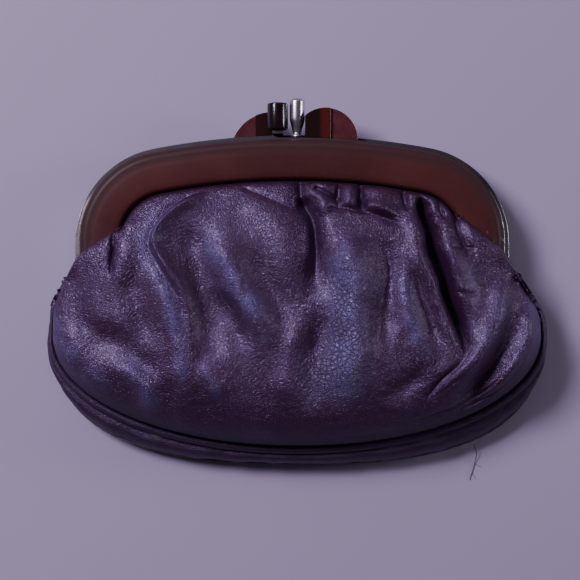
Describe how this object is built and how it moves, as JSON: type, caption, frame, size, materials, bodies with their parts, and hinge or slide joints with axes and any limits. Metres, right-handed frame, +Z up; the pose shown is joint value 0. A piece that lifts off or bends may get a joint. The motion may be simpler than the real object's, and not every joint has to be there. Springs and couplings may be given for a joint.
{
  "type": "coin purse",
  "caption": "Small clutch coin purse lying on its back: gathered leather pouch with gusset and lining in a hinged arched frame with plastic covers and a kiss-lock clasp.",
  "frame": {"origin": "on the resting plane, below the middle of the frame's hinge line; the purse lies on its back", "axes": "+X across the purse along the hinge line, +Y from the pouch's bottom towards the clasp, +Z up through the front of the pouch"},
  "size_m": [0.12, 0.0888, 0.0211],
  "materials": {
    "leather": "aubergine grained leather, worn to a soft shine on its folds",
    "gusset_leather": "darker aubergine leather, matt",
    "cover_plastic": "red-brown moulded plastic with a satin polish and fine scratches",
    "thumb_plastic": "translucent red-brown moulded plastic, polished",
    "dark_plastic": "nearly black brown plastic, polished",
    "nickel": "nickel plate, dulled and lightly tarnished",
    "lining": "plain woven lining cloth",
    "paper_cord": "twisted paper",
    "thread": "waxed sewing thread"
  },
  "bodies": {
    "back_half": {"back_frame": "nickel", "back_cover": "cover_plastic", "right_hinge_rivet": "nickel", "left_hinge_rivet": "nickel", "clasp_barrel": "dark_plastic", "barrel_post": "nickel", "left_thumb_piece": "thumb_plastic", "left_thumb_rivets": "nickel", "back_filler_cord": "paper_cord", "back_panel": "leather", "front_panel": "leather", "front_panel_fold": "leather", "gusset": "gusset_leather", "back_lining": "lining", "front_lining": "lining", "front_lining_fold": "lining", "gusset_lining": "lining", "front_seam_thread": "thread", "back_seam_thread": "thread"},
    "front_half": {"front_frame": "nickel", "front_cover": "cover_plastic", "clasp_pin": "nickel", "right_thumb_piece": "thumb_plastic", "right_thumb_rivets": "nickel", "front_filler_cord": "paper_cord", "front_panel_top": "leather", "front_lining_top": "lining"}
  },
  "joints": [
    {"name": "frame_hinge", "type": "hinge", "parent": "back_half", "child": "front_half", "pos_m": [0, 0, 0.0081], "axis": [1, 0, 0], "range_deg": [0, 70], "deforming": ["front_panel_fold", "front_lining_fold"]}
  ]
}
